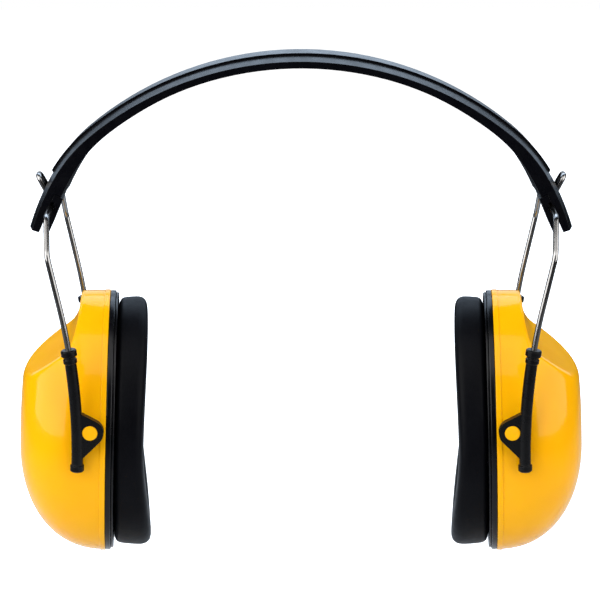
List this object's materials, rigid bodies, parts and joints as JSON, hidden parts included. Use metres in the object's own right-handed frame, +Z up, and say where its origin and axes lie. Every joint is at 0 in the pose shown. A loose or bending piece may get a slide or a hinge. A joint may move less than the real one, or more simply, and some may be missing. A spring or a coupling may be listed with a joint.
{
  "type": "earmuff hearing protector",
  "caption": "Headband earmuff: a moulded band with wire yokes folds at both ends and carries height-adjustable, tilting yellow ear cups with sealing cushions.",
  "frame": {"origin": "middle of the wearer's head, level with the cup pivots, halfway between the cups", "axes": "+Z up through the crown of the headband, X from cup to cup, -Y towards the front, where the cups toe in"},
  "size_m": [0.2038, 0.0817, 0.1812],
  "materials": {
    "band_black": "satin moulded plastic, fine grain",
    "wire_steel": "polished spring steel wire",
    "sleeve_black": "satin moulded plastic",
    "cup_yellow": "glossy moulded plastic",
    "rim_black": "semi-gloss moulded plastic",
    "cushion_foil": "soft satin vinyl foil over foam",
    "foam": "open-cell foam",
    "foam_dark": "open-cell foam"
  },
  "bodies": {
    "headband": {"headband": "band_black", "hinge_clip_right": "band_black", "hinge_clip_left": "band_black"},
    "yoke_right": {"wire_yoke_right": "wire_steel"},
    "sleeves_right": {"sleeve_front_right": "sleeve_black", "sleeve_rear_right": "sleeve_black"},
    "cup_right": {"cup_shell_right": "cup_yellow", "rim_ring_right": "rim_black", "cushion_plate_right": "rim_black", "cushion_cover_right": "cushion_foil", "cushion_foam_right": "foam", "foam_screen_right": "foam_dark", "absorber_foam_right": "foam_dark"},
    "yoke_left": {"wire_yoke_left": "wire_steel"},
    "sleeves_left": {"sleeve_front_left": "sleeve_black", "sleeve_rear_left": "sleeve_black"},
    "cup_left": {"cup_shell_left": "cup_yellow", "rim_ring_left": "rim_black", "cushion_plate_left": "rim_black", "cushion_cover_left": "cushion_foil", "cushion_foam_left": "foam", "foam_screen_left": "foam_dark", "absorber_foam_left": "foam_dark"}
  },
  "joints": [
    {"name": "fold_right", "type": "hinge", "parent": "headband", "child": "yoke_right", "pos_m": [0.08688, -0.00068, 0.073], "axis": [0.0523, 0.9986, 0], "range_deg": [-6, 80]},
    {"name": "height_right", "type": "hinge", "parent": "yoke_right", "child": "sleeves_right", "pos_m": [0.29799, -0.01174, 0], "axis": [0.0523, 0.9986, 0], "range_deg": [-3.6, 3.6]},
    {"name": "tilt_right", "type": "hinge", "parent": "sleeves_right", "child": "cup_right", "pos_m": [0.0739, 0, 0], "axis": [0.0523, 0.9986, 0], "range_deg": [-12, 12]},
    {"name": "fold_left", "type": "hinge", "parent": "headband", "child": "yoke_left", "pos_m": [-0.08688, -0.00068, 0.073], "axis": [-0.0523, 0.9986, 0], "range_deg": [-80, 6]},
    {"name": "height_left", "type": "hinge", "parent": "yoke_left", "child": "sleeves_left", "pos_m": [-0.29799, -0.01174, 0], "axis": [-0.0523, 0.9986, 0], "range_deg": [-3.6, 3.6]},
    {"name": "tilt_left", "type": "hinge", "parent": "sleeves_left", "child": "cup_left", "pos_m": [-0.0739, 0, 0], "axis": [-0.0523, 0.9986, 0], "range_deg": [-12, 12]}
  ]
}
